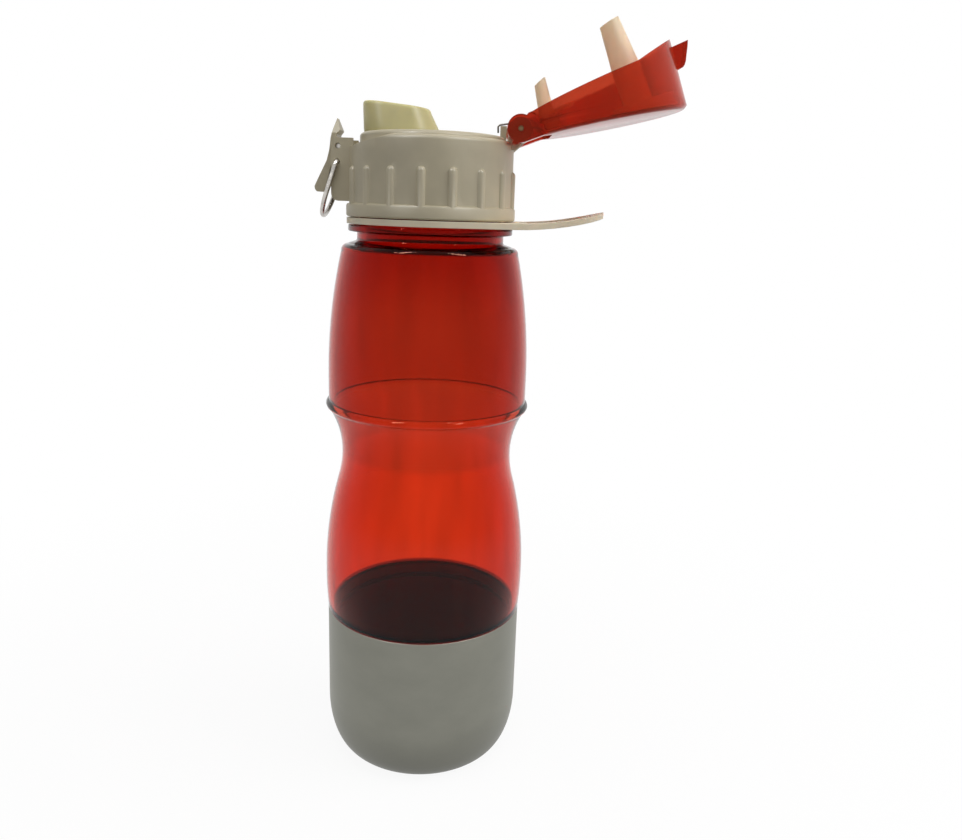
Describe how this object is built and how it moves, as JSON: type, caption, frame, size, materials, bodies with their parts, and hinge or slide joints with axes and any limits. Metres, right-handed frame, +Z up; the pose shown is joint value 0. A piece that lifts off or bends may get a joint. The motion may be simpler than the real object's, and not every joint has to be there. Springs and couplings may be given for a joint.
{
  "type": "dog travel water bottle",
  "caption": "Waisted red travel water bottle with a pull-off steel drinking cup under it, a screw cap with mouthpiece, spring flip lid, hook latch, wire bail and finger loop.",
  "frame": {"origin": "centre of the steel cup's flat underside, on the bottle's axis", "axes": "+Z up along the bottle's axis, +X towards the lid's hinge and the finger loop, -X towards the mouthpiece and the latch"},
  "size_m": [0.1227, 0.0734, 0.265],
  "materials": {
    "body_plastic": "gloss",
    "lid_plastic": "gloss",
    "cap_plastic": "satin",
    "strap_plastic": "satin",
    "spout_silicone": "satin",
    "stopper_silicone": "satin",
    "seal_silicone": "satin",
    "grip_silicone": "matte",
    "brushed_steel": "brushed",
    "brass": "satin",
    "spring_steel": "satin",
    "steel_wire": "polished"
  },
  "bodies": {
    "base_cup": {"steel_base_cup": "brushed_steel"},
    "bottle": {"bottle_body": "body_plastic", "base_grip_ring": "grip_silicone"},
    "strap": {"carry_ring": "strap_plastic"},
    "cap_lift": {"cap_gasket": "seal_silicone"},
    "cap": {"cap_shell": "cap_plastic", "spout": "spout_silicone", "hinge_pin": "brass", "latch_pin": "steel_wire", "lid_spring": "spring_steel", "latch_spring": "spring_steel"},
    "lid": {"lid_shell": "lid_plastic", "spout_stopper": "stopper_silicone", "vent_stopper": "stopper_silicone"},
    "latch": {"latch_lever": "cap_plastic"},
    "bail": {"wire_bail": "steel_wire"}
  },
  "joints": [
    {"name": "bottle_lift", "type": "slide", "parent": "base_cup", "child": "bottle", "axis": [0, 0, 1], "range_m": [0, 0.065]},
    {"name": "ring_swivel", "type": "hinge", "parent": "bottle", "child": "strap", "pos_m": [0, 0, 0.1978], "axis": [0, 0, 1], "range_deg": [-120, 120]},
    {"name": "cap_rise", "type": "slide", "parent": "bottle", "child": "cap_lift", "axis": [0, 0, 1], "range_m": [0, 0.01251]},
    {"name": "cap_turn", "type": "hinge", "parent": "cap_lift", "child": "cap", "pos_m": [0, 0, 0.2], "axis": [0, 0, 1], "range_deg": [0, 900]},
    {"name": "lid_hinge", "type": "hinge", "parent": "cap", "child": "lid", "pos_m": [0.0292, 0, 0.2285], "axis": [0, -1, 0], "range_deg": [0, 155], "stiffness_Nm_per_rad": 0.002, "springref_deg": -28.65, "deforming": ["lid_spring"]},
    {"name": "latch_pivot", "type": "hinge", "parent": "cap", "child": "latch", "pos_m": [-0.0307, 0, 0.2216], "axis": [0, -1, 0], "range_deg": [0, 14], "stiffness_Nm_per_rad": 0.02, "springref_deg": -5.73, "deforming": ["latch_spring"]},
    {"name": "bail_swing", "type": "hinge", "parent": "cap", "child": "bail", "pos_m": [-0.031, 0, 0.21655], "axis": [0, 1, 0], "range_deg": [-15, 175]}
  ],
  "couplings": [
    {"joint": "cap_rise", "follows": "cap_turn", "m_per_rad": 0.00079577}
  ]
}
